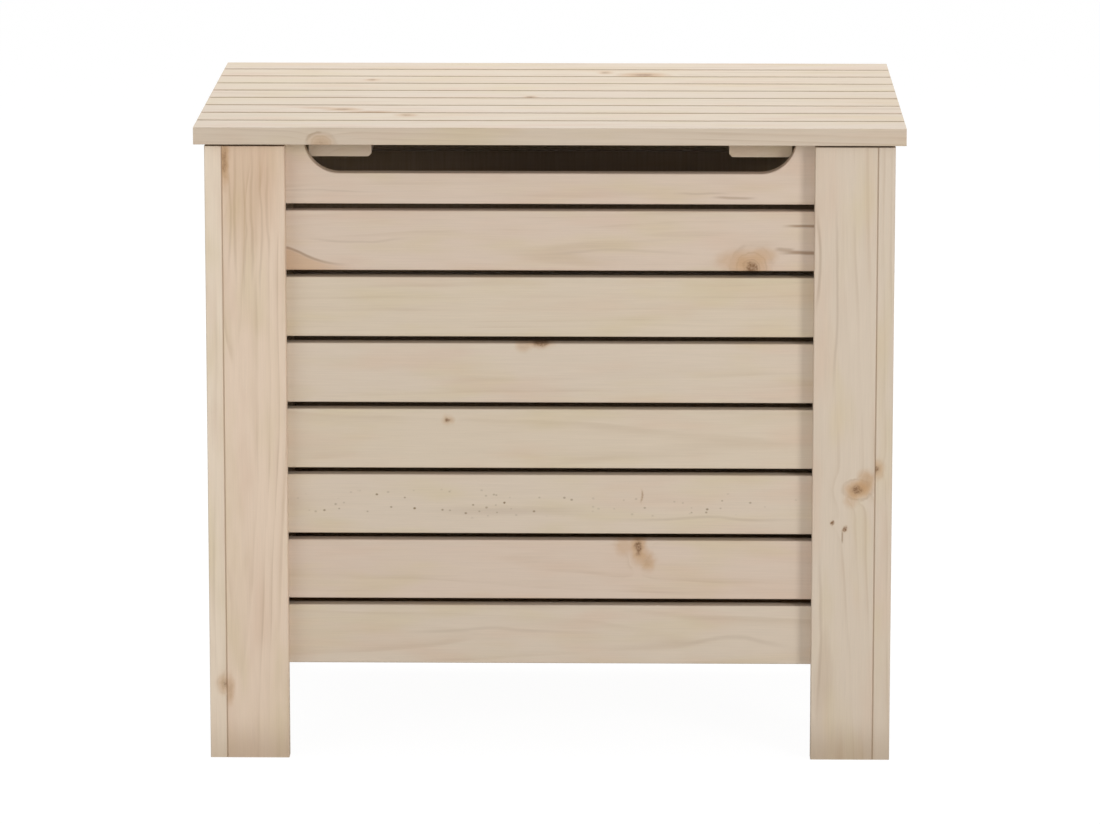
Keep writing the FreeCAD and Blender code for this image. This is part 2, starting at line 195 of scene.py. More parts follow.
def new_material(name: str) -> tuple[Material, Tree, bpy.types.Node]:
    """Make an empty node material with a shader on its output.

    Args:
        name: The material's name.

    Returns:
        The material, its node tree and its shader.
    """
    material = bpy.data.materials.new(name)
    material.use_nodes = True
    tree = material.node_tree
    tree.nodes.clear()
    shader = add_node(tree, "ShaderNodeBsdfPrincipled")
    add_node(tree, "ShaderNodeOutputMaterial", {"Surface": shader.outputs["BSDF"]})
    return material, tree, shader


def new_group(name: str, vectors: Names, numbers: Names, outputs: Names) -> Tree:
    """Make an empty node group.

    Args:
        name: The group's name.
        vectors: Names of its vector inputs.
        numbers: Names of its number inputs.
        outputs: Names of its number outputs.

    Returns:
        The group's node tree.
    """
    tree = bpy.data.node_groups.new(name, "ShaderNodeTree")
    for labels, way, kind in ((vectors, "INPUT", "NodeSocketVector"), (numbers, "INPUT", "NodeSocketFloat"),
                              (outputs, "OUTPUT", "NodeSocketFloat")):
        for label in labels:
            tree.interface.new_socket(name=label, in_out=way, socket_type=kind)
    return tree


def coat(tree: Tree, shader: bpy.types.Node, colour: Socket, roughness: Socket, height: Socket,
         relief: Pair) -> None:
    """Give a shader its colour, roughness and relief.

    Args:
        tree: The material's node tree.
        shader: Its shader.
        colour: The colour.
        roughness: The roughness.
        height: Height of the fine relief, from nought to one.
        relief: Strength of the relief, and its depth in millimetres.
    """
    bump = add_node(tree, "ShaderNodeBump", {"Strength": relief[0], "Distance": relief[1] * MM,
                                             "Height": height})
    tree.links.new(colour, shader.inputs["Base Color"])
    tree.links.new(roughness, shader.inputs["Roughness"])
    tree.links.new(bump.outputs[0], shader.inputs["Normal"])


def put_on(node: bpy.types.Object, material: Material) -> None:
    """Give every material slot of an object the same material.

    Args:
        node: The object.
        material: The material.
    """
    if not node.material_slots:
        node.data.materials.append(material)
    for slot in node.material_slots:
        slot.material = material


class Lay(Enum):
    """How a board lies: the axis of its grain, of its width and of its thickness."""

    LONG_WALL = (0, 2, 1)
    SIDE_WALL = (1, 2, 0)
    FACING_LEG = (2, 0, 1)
    SIDE_LEG = (2, 1, 0)
    LID = (0, 1, 2)
    BATTEN = (1, 0, 2)


class Face(Enum):
    """A face of a board, by axis and direction, that is painted browner: a sawn face, painted shade, and
    the lid's front edge.
    """

    FRONT = (1, -1.0)
    BACK = (1, 1.0)
    LEFT = (0, -1.0)
    RIGHT = (0, 1.0)
    UNDER = (2, -1.0)


class Tone(Enum):
    """Ground colour of a board between its rings, as it looks in plain light."""

    CREAM = "#D5C5B2"
    ROSE = "#D5C2B0"
    HONEY = "#E4CEB8"
    STRAW = "#D5C5B0"
    PALE = "#E7D6C1"
    SAWN = "#B89E7E"


@dataclass(frozen=True)
class Knot:
    """A knot, or the edge of one, on the face of a board.

    Attributes:
        at: Its middle along the grain and across the board, in frame millimetres.
        size: Half the length and half the width of its core in millimetres.
        core: How strongly the core shows.
        halo: Reach of the tanned wood round it, as a multiple of its size.
        tan: How strongly that wood is tanned.
        lines: How strongly the thin rings round it show.
        pull: How far it pushes the board's rings aside, in millimetres.
        rim: How strongly a broken brown arch shows round the tanned wood.
        depth: Its middle through the board, in frame millimetres, where it doesn't go right through.
        thick: Half its thickness there.
    """

    at: Pair
    size: Pair
    core: float = 0.75
    halo: float = 2.6
    tan: float = 0.45
    lines: float = 0.35
    pull: float = 5.0
    rim: float = 0.0
    depth: float | None = None
    thick: float = 5.0


@dataclass(frozen=True)
class Streak:
    """A thin dark line that runs along the grain and may swell over in a bell.

    Attributes:
        at: Its middle along the grain and across the board, in frame millimetres.
        span: Half its length in millimetres.
        width: Half its thickness in millimetres.
        dark: How strongly it shows.
        rise: Height of the bell in millimetres.
        reach: Half the width of the bell in millimetres.
        fill: How strongly the wood under the bell is tanned.
    """

    at: Pair
    span: float
    width: float = 0.9
    dark: float = 0.5
    rise: float = 0.0
    reach: float = 30.0
    fill: float = 0.0


@dataclass(frozen=True)
class Specks:
    """A band of scattered dark dots.

    Attributes:
        at: Its middle along the grain and across the board, in frame millimetres.
        size: Half its length and half its width in millimetres.
        amount: How strongly the dots show.
    """

    at: Pair
    size: Pair
    amount: float = 0.5


@dataclass
class Figure:
    """The figure of one board.

    Attributes:
        tone: Its ground colour.
        pith: Where the heart of the log lies from the board's middle, across and through it, in mm.
        rings: Strength of the ring lines.
        spacing: Distance between rings in millimetres.
        taper: How far the rings climb for each millimetre along the board.
        wander: How far the rings stray from a straight line, in millimetres.
        ends: How much browner its ends look, where they are cut across the grain.
        foot: How much browner the wood is that stands on the floor.
        knots: Knots on it.
        streaks: Single lines on it.
        specks: Bands of dots on it.
    """

    tone: Tone = Tone.CREAM
    pith: Pair = (10.0, -60.0)
    rings: float = 0.25
    spacing: float = 6.0
    taper: float = 0.012
    wander: float = 8.0
    ends: float = 0.6
    foot: float = 0.0
    knots: tuple[Knot, ...] = ()
    streaks: tuple[Streak, ...] = ()
    specks: tuple[Specks, ...] = ()


@dataclass
class Board:
    """What the finish needs to know of one board while its nodes are made.

    Attributes:
        tree: The material's node tree.
        place: Place on the board in millimetres from its middle: along, across and through it.
        middle: The board's middle in frame millimetres, in that order.
        colour: The colour so far.
    """

    tree: Tree
    place: Socket
    middle: Triple
    colour: Any = None

    def blend(self, amount: Socket, strength: float, code: str) -> None:
        """Mix a colour over the board.

        Args:
            amount: Where the colour lies, from nought to one.
            strength: How much of it shows there.
            code: The colour.
        """
        share = number(self.tree, "MULTIPLY", amount, strength)
        self.colour = mix(self.tree, share, self.colour, linear(code))

    def local(self, at: Pair, depth: float | None = None) -> Triple:
        """A place on the board from its frame millimetres."""
        through = 0.0 if depth is None else depth - self.middle[2]
        return (at[0] - self.middle[0], at[1] - self.middle[1], through)

    def group(self, tree: Tree, values: dict[str, Any]) -> Outputs:
        """Add a node group that reads the board's place.

        Args:
            tree: The group.
            values: Its other inputs.

        Returns:
            The group's outputs.
        """
        inputs = {"Place": self.place, **values}
        return add_node(self.tree, "ShaderNodeGroup", inputs, node_tree=tree).outputs


@dataclass
class Pine:
    """Planed, untreated pine.

    The eye sees a pale ground with slow rose and straw clouds, faint tan ring lines that open into
    arches, fine fibre streaks along the board and the odd brown knot. The surface is dull, with a faint
    sheen at a low angle. Inner faces are browner and show the saw, and are partly painted shade of the
    box's inside. Seams, with their dust, and the gaps between lid slats carry painted shade, and feet are
    browner too.

    Attributes:
        late_wood: The dark part of a ring.
        rose: Slow warm clouds.
        straw: Slow yellow clouds.
        tan: Wood round a knot.
        line: Thin dark lines, and dust and painted shade in a seam.
        knot: The core of a knot.
        dot: Specks.
        end_grain: Ends cut across the grain.
        sawn: Sawn faces, painted shade inside the box and in the lid's gaps, and wood towards the floor.
        foot_height: How far up the floor browns a leg.
        clouds: How strongly the rose and the straw clouds show.
        seam_dust_and_shade: How strongly dust and painted shade show in a seam.
        saw_marks: Brownness of a face from which it shows marks of the saw.
        roughness: Roughness of early and of late fibre.
        relief: Strength of the fibre's relief, and its depth in millimetres.
        groups: Node groups shared by all boards.
    """

    late_wood: str = "#A98A66"
    rose: str = "#D2B49C"
    straw: str = "#CFBE97"
    tan: str = "#BD9262"
    line: str = "#8A6A4A"
    knot: str = "#74512F"
    dot: str = "#857052"
    end_grain: str = "#B59A78"
    # foot_height: How far up a leg the browning towards the floor reaches.
    sawn: str = "#8F7452"
    foot_height: float = 48.0 * MM
    clouds: Pair = (0.36, 0.4)
    seam_dust_and_shade: float = 0.4
    saw_marks: float = 0.3
    roughness: Pair = (0.68, 0.56)
    relief: Pair = (0.1, 0.3)
    groups: dict[str, Tree] = field(default_factory=dict)

    def build(self) -> None:
        """Make the shared node groups of the figure."""
        self.groups["rings"] = self._ring_group()
        self.groups["knot"] = self._knot_group()
        self.groups["streak"] = self._streak_group()
        self.groups["specks"] = self._speck_group()

    def _ring_group(self) -> Tree:
        """Rings round the heart of the log, fibre streaks and slow clouds.

        Returns:
            A group from a place in board millimetres to ring, fibre and cloud amounts.
        """
        tree = new_group("pine_rings", ("Place", "Pith", "Seed"), ("Spacing", "Taper", "Wander", "Bend"),
                         ("Ring", "Fibre", "Rose", "Straw"))
        entry = add_node(tree, "NodeGroupInput").outputs
        shifted = vector(tree, "ADD", entry["Place"], entry["Seed"])
        slow_place = vector(tree, "MULTIPLY", shifted, (1 / 260, 1 / 70, 1 / 70))
        slow = noise(tree, slow_place, roughness=0.45)
        centred = vector(tree, "SUBTRACT", slow["Color"], (0.5, 0.5, 0.5))
        strayed = add_node(tree, "ShaderNodeVectorMath", {0: centred, "Scale": entry["Wander"]},
                           operation="SCALE")
        moved = vector(tree, "ADD", entry["Place"], strayed.outputs[0])
        from_pith = vector(tree, "SUBTRACT", moved, entry["Pith"])
        across = vector(tree, "MULTIPLY", from_pith, (0, 1, 1))
        radius = vector(tree, "LENGTH", across)
        axes = add_node(tree, "ShaderNodeSeparateXYZ", {0: entry["Place"]})
        climbed = number(tree, "MULTIPLY_ADD", axes.outputs["X"], entry["Taper"], radius)
        bent = number(tree, "ADD", climbed, entry["Bend"])
        count = number(tree, "DIVIDE", bent, entry["Spacing"])
        uneven = add_node(tree, "ShaderNodeTexNoise", {"W": count, "Scale": 0.45, "Detail": 1.0},
                          noise_dimensions="1D")
        phase = number(tree, "MULTIPLY_ADD", uneven.outputs[0], 1.6, count)
        turn = number(tree, "FRACT", phase)
        ramp = add_node(tree, "ShaderNodeValToRGB", {0: turn})
        ramp.color_ramp.elements[0].color = (0.0, 0.0, 0.0, 1.0)
        ramp.color_ramp.elements[1].color = (0.05, 0.05, 0.05, 1.0)
        for stop, shade in ((0.45, 0.1), (0.74, 0.4), (0.88, 1.0), (0.95, 0.8)):
            ramp.color_ramp.elements.new(stop).color = (shade, shade, shade, 1.0)
        fade_place = vector(tree, "MULTIPLY", shifted, (1 / 130, 1 / 18, 1 / 18))
        fade = noise(tree, fade_place)
        shown = remap(tree, fade[0], (0.4, 0.7), (0.12, 1.0), soft=True)
        ring = number(tree, "MULTIPLY", ramp.outputs[0], shown)
        fibre_place = vector(tree, "MULTIPLY", shifted, (1 / 45, 1 / 1.1, 1 / 1.1))
        fibre = noise(tree, fibre_place, 3.0, roughness=0.6)
        clouds = []
        for offset in (0.0, 700.0):
            cloud_place = vector(tree, "MULTIPLY_ADD", shifted, (1 / 110, 1 / 30, 1 / 30), (offset,) * 3)
            cloud = noise(tree, cloud_place)
            clouds.append(remap(tree, cloud[0], (0.45, 0.75), soft=True))
        add_node(tree, "NodeGroupOutput",
                 {"Ring": ring, "Fibre": fibre[0], "Rose": clouds[0], "Straw": clouds[1]})
        return tree

    def _knot_group(self) -> Tree:
        """An oval knot with a ragged core, tanned wood round it and thin rings.

        Returns:
            A group from a place in board millimetres to core, halo, line, bend and rim amounts.
        """
        tree = new_group("pine_knot", ("Place", "Centre", "Shrink"), ("Halo",),
                         ("Core", "Halo", "Line", "Bend", "Rim"))
        entry = add_node(tree, "NodeGroupInput").outputs
        rough = noise(tree, entry["Place"], scale=0.13)
        centred = vector(tree, "SUBTRACT", rough["Color"], (0.5, 0.5, 0.5))
        uneven = vector(tree, "MULTIPLY_ADD", centred, (7.0, 5.0, 3.0), entry["Place"])
        away = vector(tree, "SUBTRACT", uneven, entry["Centre"])
        oval = vector(tree, "MULTIPLY", away, entry["Shrink"])
        distance = vector(tree, "LENGTH", oval)
        solid = remap(tree, distance, (0.45, 1.1), (1.0, 0.0), soft=True)
        grit = noise(tree, entry["Place"], 3.0, scale=0.55)
        broken = remap(tree, grit[0], (0.35, 0.62), (0.45, 1.0))
        core = number(tree, "MULTIPLY", solid, broken)
        reach = number(tree, "DIVIDE", distance, entry["Halo"])
        halo = remap(tree, reach, (0.3, 1.0), (1.0, 0.0), soft=True)
        wave = number(tree, "MULTIPLY", distance, 2 * math.pi * 1.15)
        crest = number(tree, "SINE", wave)
        thin = remap(tree, crest, (0.55, 1.0), soft=True)
        line = number(tree, "MULTIPLY", thin, halo)
        square = number(tree, "MULTIPLY", distance, distance)
        falling = number(tree, "MULTIPLY", square, -0.16)
        bend = number(tree, "EXPONENT", falling)
        offset = number(tree, "SUBTRACT", reach, 0.8)
        beside = number(tree, "ABSOLUTE", offset)
        arch = remap(tree, beside, (0.02, 0.15), (1.0, 0.0), soft=True)
        gaps = noise(tree, entry["Place"], scale=0.06)[0]
        kept = remap(tree, gaps, (0.4, 0.6), (0.25, 1.0))
        rim = number(tree, "MULTIPLY", arch, kept)
        add_node(tree, "NodeGroupOutput",
                 {"Core": core, "Halo": halo, "Rim": rim, "Line": line, "Bend": bend})
        return tree

    def _streak_group(self) -> Tree:
        """One line along the grain that may rise in a bell.

        Returns:
            A group from a place in board millimetres to line and fill amounts.
        """
        tree = new_group("pine_streak", ("Place", "Centre"), ("Rise", "Reach", "Span", "Width"),
                         ("Line", "Fill"))
        entry = add_node(tree, "NodeGroupInput").outputs
        away = vector(tree, "SUBTRACT", entry["Place"], entry["Centre"])
        axes = add_node(tree, "ShaderNodeSeparateXYZ", {0: away}).outputs
        ratio = number(tree, "DIVIDE", axes["X"], entry["Reach"])
        square = number(tree, "MULTIPLY", ratio, ratio)
        falling = number(tree, "MULTIPLY", square, -1.0)
        bell = number(tree, "EXPONENT", falling)
        height = number(tree, "MULTIPLY", bell, entry["Rise"])
        wave_place = vector(tree, "MULTIPLY", entry["Place"], (1 / 40, 1 / 30, 1 / 30))
        wave = noise(tree, wave_place)[0]
        strayed = number(tree, "MULTIPLY_ADD", wave, 4.0, height)
        offset = number(tree, "SUBTRACT", axes["Y"], strayed)
        lifted = number(tree, "ADD", offset, 2.0)
        beside = number(tree, "ABSOLUTE", lifted)
        thin = number(tree, "DIVIDE", beside, entry["Width"])
        line = remap(tree, thin, (0.2, 1.6), (1.0, 0.0), soft=True)
        length = number(tree, "ABSOLUTE", axes["X"])
        share = number(tree, "DIVIDE", length, entry["Span"])
        fade = remap(tree, share, (0.35, 1.0), (1.0, 0.0), soft=True)
        drawn = number(tree, "MULTIPLY", line, fade)
        under = remap(tree, lifted, (-3.0, 0.5), (1.0, 0.0), soft=True)
        filled = number(tree, "MULTIPLY", under, fade)
        add_node(tree, "NodeGroupOutput", {"Line": drawn, "Fill": filled})
        return tree

    def _speck_group(self) -> Tree:
        """Scattered round dots inside an oval band.

        Returns:
            A group from a place in board millimetres to the dot amount.
        """
        tree = new_group("pine_specks", ("Place", "Centre", "Shrink"), (), ("Speck",))
        entry = add_node(tree, "NodeGroupInput").outputs
        away = vector(tree, "SUBTRACT", entry["Place"], entry["Centre"])
        oval = vector(tree, "MULTIPLY", away, entry["Shrink"])
        distance = vector(tree, "LENGTH", oval)
        band = remap(tree, distance, (0.55, 1.0), (1.0, 0.0), soft=True)
        flat = vector(tree, "MULTIPLY", entry["Place"], (1 / 7.5, 1 / 6, 0))
        cells = add_node(tree, "ShaderNodeTexVoronoi", {"Vector": flat, "Scale": 1.0, "Randomness": 1.0})
        dot = remap(tree, cells.outputs["Distance"], (0.08, 0.26), (1.0, 0.0), soft=True)
        draw = add_node(tree, "ShaderNodeSeparateColor", {0: cells.outputs["Color"]}).outputs[0]
        chosen = number(tree, "GREATER_THAN", draw, 0.45)
        strength = number(tree, "MULTIPLY", draw, chosen)
        spread = number(tree, "MULTIPLY", dot, strength)
        speck = number(tree, "MULTIPLY", spread, band)
        add_node(tree, "NodeGroupOutput", {"Speck": speck})
        return tree

    def dress(self, node: bpy.types.Object, lay: Lay, figure: Figure,
              rough: dict[Face, float] | None = None, seam: Pair | None = None) -> None:
        """Give one board its own figure.

        Args:
            node: The board's object.
            lay: How the board lies.
            figure: Its tone, rings, knots, streaks and dots.
            rough: Faces painted browner, and by how much: sawn faces, painted shade, and the lid's front
                edge.
            seam: Which way, in plan, faces the eased edge at the next board, darkened by dust and painted
                shade.
        """
        material, tree, shader = new_material(f"pine_{node.name}")
        low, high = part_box(node.name)
        middle = [(a + b) / 2 / MM for a, b in zip(low, high)]
        spots = add_node(tree, "ShaderNodeTexCoord").outputs
        scaled = vector(tree, "MULTIPLY_ADD", spots["Object"], (1 / MM,) * 3, tuple(-m for m in middle))
        axes = add_node(tree, "ShaderNodeSeparateXYZ", {0: scaled}).outputs
        place = add_node(tree, "ShaderNodeCombineXYZ", {i: axes[axis] for i, axis in enumerate(lay.value)})
        board = Board(tree, place.outputs[0], tuple(middle[axis] for axis in lay.value))
        draw = random.Random(node.name)
        bend: Any = 0.0
        knots = []
        for knot in figure.knots:
            shrink = (1 / knot.size[0], 1 / knot.size[1], 0.0 if knot.depth is None else 1 / knot.thick)
            parts = board.group(self.groups["knot"], {"Centre": board.local(knot.at, knot.depth),
                                                      "Shrink": shrink, "Halo": knot.halo})
            bend = number(tree, "MULTIPLY_ADD", parts["Bend"], knot.pull, bend)
            knots.append((knot, parts))
        rings = board.group(self.groups["rings"], {
            "Pith": (0.0, *figure.pith), "Seed": tuple(draw.uniform(-4000, 4000) for _ in range(3)),
            "Spacing": figure.spacing, "Taper": figure.taper, "Wander": figure.wander, "Bend": bend})
        board.colour = linear(figure.tone.value)
        board.blend(rings["Rose"], self.clouds[0], self.rose)
        board.blend(rings["Straw"], self.clouds[1], self.straw)
        board.blend(rings["Ring"], figure.rings, self.late_wood)
        for streak in figure.streaks:
            parts = board.group(self.groups["streak"], {
                "Centre": board.local(streak.at), "Rise": streak.rise, "Reach": streak.reach,
                "Span": streak.span, "Width": streak.width})
            if streak.fill:
                board.blend(parts["Fill"], streak.fill, self.tan)
            board.blend(parts["Line"], streak.dark, self.line)
        for band in figure.specks:
            shrink = (1 / band.size[0], 1 / band.size[1], 0.0)
            parts = board.group(self.groups["specks"], {"Centre": board.local(band.at), "Shrink": shrink})
            board.blend(parts["Speck"], band.amount, self.dot)
        for knot, parts in knots:
            board.blend(parts["Halo"], knot.tan, self.tan)
            if knot.rim:
                board.blend(parts["Rim"], knot.rim, self.line)
            board.blend(parts["Line"], knot.lines, self.line)
            board.blend(parts["Core"], knot.core, self.knot)
        facing = add_node(tree, "ShaderNodeSeparateXYZ", {0: spots["Normal"]}).outputs
        kerf_place = vector(tree, "MULTIPLY", board.place, (1 / 2.4, 1 / 55, 1 / 55))
        kerf = noise(tree, kerf_place)[0]
        marks = remap(tree, kerf, (0.3, 0.7), (0.92, 1.04))
        # Browned faces: sawn faces with saw marks, and painted shade inside the box and in the gaps between
        # lid slats
        for face, brown in (rough or {}).items():
            axis, way = face.value
            cut = remap(tree, facing[axis], (0.5 * way, 0.9 * way))
            marked = number(tree, "MULTIPLY", cut, marks if brown > self.saw_marks else 1.0)
            board.blend(marked, brown, self.sawn)
        # Dust and painted shade in the seam: the eased edge beside the next board is darkened
        if seam:
            turned = vector(tree, "DOT_PRODUCT", spots["Normal"], (*seam, 0.0))
            eased = remap(tree, turned, (1.28, 1.36))
            board.blend(eased, self.seam_dust_and_shade, self.line)
        # Browner towards the floor, fading out over the bottom few centimetres of a leg
        if figure.foot:
            up = add_node(tree, "ShaderNodeSeparateXYZ", {0: spots["Object"]}).outputs["Z"]
            near_floor = remap(tree, up, (0.0, self.foot_height), (1.0, 0.0), soft=True)
            board.blend(near_floor, figure.foot, self.sawn)
        endwise = number(tree, "ABSOLUTE", facing[lay.value[0]])
        ends = remap(tree, endwise, (0.8, 0.95))
        board.blend(ends, figure.ends, self.end_grain)
        streaky = remap(tree, rings["Fibre"], (0.3, 0.7), (0.968, 1.024))
        grey = add_node(tree, "ShaderNodeCombineXYZ", {i: streaky for i in range(3)})
        colour = mix(tree, 1.0, board.colour, grey.outputs[0], "MULTIPLY")
        dull = remap(tree, rings["Fibre"], (0.3, 0.7), self.roughness)
        coat(tree, shader, colour, dull, rings["Fibre"], self.relief)
        put_on(node, material)


@dataclass
class Walls:
    """The four slatted walls.

    Attributes:
        figures: Figures of the front slats, from the top.
        slat_count: Slats in each wall.
        inner_sawn_and_shade: How much browner the inner faces are painted, as sawn wood and painted shade
            of the box's inside.
    """

    figures: tuple[Figure, ...]
    slat_count: int = 8
    inner_sawn_and_shade: float = 0.85

    def dress(self, nodes: Nodes, pine: Pine) -> None:
        """Give every wall slat its figure.

        Args:
            nodes: The frame's objects by name.
            pine: The finish of the boards.
        """
        # Inner faces are painted browner: sawn wood with saw marks, and painted shade of the closed box's
        # inside
        for row, figure in enumerate(self.figures, start=1):
            name = f"front_slat_{row}"
            pine.dress(nodes[name], Lay.LONG_WALL, figure, {Face.BACK: self.inner_sawn_and_shade})
        for wall, lay, inner in (("back", Lay.LONG_WALL, Face.FRONT), ("left", Lay.SIDE_WALL, Face.RIGHT),
                                 ("right", Lay.SIDE_WALL, Face.LEFT)):
            for row in range(1, self.slat_count + 1):
                name = f"{wall}_slat_{row}"
                pine.dress(nodes[name], lay, plain_figure(nodes[name], lay), {inner: self.inner_sawn_and_shade})
        LOG.info("walls: %d slats in each", self.slat_count)


def plain_figure(node: bpy.types.Object, lay: Lay) -> Figure:
    """Draw an everyday figure for a board that the photograph doesn't show closely.

    Args:
        node: The board's object, whose name seeds the draw.
        lay: How the board lies.

    Returns:
        A figure with at most one small knot.
    """
    draw = random.Random("figure " + node.name)
    low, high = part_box(node.name)
    along, across, _ = lay.value
    knots = ()
    if draw.random() < 0.35:
        at = tuple(draw.uniform(low[axis], high[axis]) / MM for axis in (along, across))
        long = draw.uniform(3.0, 7.0)
        knots = (Knot(at, (long, long * draw.uniform(0.55, 0.8)), core=draw.uniform(0.4, 0.7)),)
    return Figure(tone=draw.choice((Tone.CREAM, Tone.ROSE, Tone.STRAW)),
                  pith=(draw.uniform(-40, 40), -draw.uniform(30, 110)),
                  rings=draw.uniform(0.18, 0.36), spacing=draw.uniform(5.0, 8.0),
                  taper=draw.uniform(-0.025, 0.025), wander=draw.uniform(5.0, 10.0), knots=knots)


@dataclass
class Legs:
    """The eight leg boards.

    Attributes:
        figures: Figures of the leg boards that the photograph shows.
    """

    figures: dict[str, Figure]

    def dress(self, nodes: Nodes, pine: Pine) -> None:
        """Give every leg board its figure.

        Args:
            nodes: The frame's objects by name.
            pine: The finish of the boards.
        """
        for face, forth in (("front", -1.0), ("back", 1.0)):
            for side, out in (("left", -1.0), ("right", 1.0)):
                for name, lay, seam in ((f"{face}_leg_{side}", Lay.FACING_LEG, (out, forth)),
                                        (f"side_leg_{face}_{side}", Lay.SIDE_LEG, (-out, forth))):
                    figure = self.figures.get(name) or plain_figure(nodes[name], lay)
                    pine.dress(nodes[name], lay, figure, seam=seam)
        LOG.info("legs: dressed")


@dataclass
class Lid:
    """The slatted lid and its two battens.

    Attributes:
        figures: Figures of the lid slats, from the front.
        under_sawn_and_shade: How much browner the underside is painted, as sawn wood and painted shade
            under the lid.
        edge_brown: How much browner the front edge of the lid looks.
        gap_shade: How much darker the front faces of the rear slats are painted, as painted shade in the
            gaps.
        batten_ends: How much browner the ends of the battens look.
    """

    figures: tuple[Figure, ...]
    under_sawn_and_shade: float = 0.4
    edge_brown: float = 0.12
    gap_shade: float = 0.6
    batten_ends: float = 0.3

    def dress(self, nodes: Nodes, pine: Pine) -> None:
        """Give every lid slat and batten its figure.

        Args:
            nodes: The frame's objects by name.
            pine: The finish of the boards.
        """
        for row, figure in enumerate(self.figures, start=1):
            # Front faces of the slats behind the first carry painted shade of the gaps; the first slat's
            # front edge is only browned
            front = self.edge_brown if row == 1 else self.gap_shade
            # The underside is painted browner: sawn wood, and painted shade under the lid
            rough = {Face.UNDER: self.under_sawn_and_shade, Face.FRONT: front}
            pine.dress(nodes[f"lid_slat_{row}"], Lay.LID, figure, rough)
        for side in ("left", "right"):
            node = nodes[f"lid_batten_{side}"]
            figure = replace(plain_figure(node, Lay.BATTEN), ends=self.batten_ends)
            pine.dress(node, Lay.BATTEN, figure)
        LOG.info("lid: %d slats on two battens", len(self.figures))


@dataclass
class Inside:
    """Corner posts, cleats, floor panel and the pads under the lid."""

    def dress(self, nodes: Nodes, pine: Pine) -> None:
        """Give the inner pieces their finishes.

        Args:
            nodes: The frame's objects by name.
            pine: The finish of the boards.
        """
        figure = Figure(Tone.SAWN, (5.0, -40.0), 0.35)
        pine.dress(nodes["corner_posts"], Lay.FACING_LEG, figure)
        pine.dress(nodes["floor_cleats"], Lay.LONG_WALL, figure)
        put_on(nodes["floor_panel"], Plywood().material())
        put_on(nodes["lid_bumpers"], RUBBER.material())
        LOG.info("inside: dressed")


@dataclass(frozen=True)
class Plywood:
    """Sanded birch plywood: a tan face with long soft figure and fine pores, and plies on its edges.

    Attributes:
        face: Darker and paler tan of the face.
        pore: Colour of the pores.
        plies: Paler and darker plies on the edges.
        ply: Thickness of one ply of each.
        figure: Size of the figure along and across the panel, and through it.
        grain: Size of the pores in the same order.
        roughness: Roughness between the pores and in them.
        relief: Strength of the relief, and its depth in millimetres.
    """

    face: tuple[str, str] = ("#AB8B62", "#C7AC84")
    pore: str = "#86663F"
    plies: tuple[str, str] = ("#C2A67D", "#8A6A45")
    ply: float = 3.6 * MM
    figure: Triple = (160 * MM, 14 * MM, 14 * MM)
    grain: Triple = (9 * MM, 0.8 * MM, 0.8 * MM)
    roughness: Pair = (0.45, 0.7)
    relief: Pair = (0.15, 0.2)

    def material(self) -> Material:
        """Make the material.

        Returns:
            The material.
        """
        material, tree, shader = new_material("birch_plywood")
        spots = add_node(tree, "ShaderNodeTexCoord").outputs
        long = vector(tree, "MULTIPLY", spots["Object"], tuple(1 / size for size in self.figure))
        figure = noise(tree, long, 4.0, distortion=0.6)
        fine = vector(tree, "MULTIPLY", spots["Object"], tuple(1 / size for size in self.grain))
        pores = noise(tree, fine)
        face = mix(tree, figure[0], *map(linear, self.face))
        pitted = remap(tree, pores[0], (0.62, 0.75), (0.0, 0.35))
        faced = mix(tree, pitted, face, linear(self.pore))
        height = add_node(tree, "ShaderNodeSeparateXYZ", {0: spots["Object"]}).outputs["Z"]
        plies = number(tree, "MULTIPLY", height, 2 * math.pi / self.ply)
        stripe = number(tree, "SINE", plies)
        dark_ply = remap(tree, stripe, (-0.2, 0.2))
        edge = mix(tree, dark_ply, *map(linear, self.plies))
        up = add_node(tree, "ShaderNodeSeparateXYZ", {0: spots["Normal"]}).outputs["Z"]
        level = number(tree, "ABSOLUTE", up)
        flat = remap(tree, level, (0.5, 0.8))
        colour = mix(tree, flat, edge, faced)
        dull = remap(tree, pores[0], target=self.roughness)
        coat(tree, shader, colour, dull, pores[0], self.relief)
        return material


@dataclass(frozen=True)
class Clouded:
    """A finish of one colour with faint clouds in it.

    Attributes:
        name: The material's name.
        colours: The two colours that the clouds run between.
        cloud: Size of the clouds.
        detail: Octaves of them.
        roughness: Roughness in the one and in the other.
        relief: Strength of the relief, and its depth in millimetres.
        metal: One for metal, nought for anything else.
    """

    name: str
    colours: tuple[str, str]
    cloud: float
    detail: float
    roughness: Pair
    relief: Pair
    metal: float = 0.0

    def material(self) -> Material:
        """Make the material.

        Returns:
            The material.
        """
        material, tree, shader = new_material(self.name)
        spot = add_node(tree, "ShaderNodeTexCoord").outputs["Object"]
        cloud = noise(tree, spot, self.detail, scale=1 / self.cloud)
        colour = mix(tree, cloud[0], *map(linear, self.colours))
        dull = remap(tree, cloud[0], target=self.roughness)
        coat(tree, shader, colour, dull, cloud[0], self.relief)
        shader.inputs["Metallic"].default_value = self.metal
        return material


# Moulded dark rubber, near black and dull, with a faint bloom
RUBBER = Clouded("moulded_rubber", ("#2B2522", "#453D38"), 4 * MM, 3.0, (0.72, 0.9), (0.1, 0.1))
# Zinc-plated pressed steel, light grey and satin, with a faint cloudy spangle
ZINC = Clouded("zinc_plated_steel", ("#9A9A97", "#BDBCB7"), 6 * MM, 4.0, (0.28, 0.46), (0.05, 0.1), 1.0)


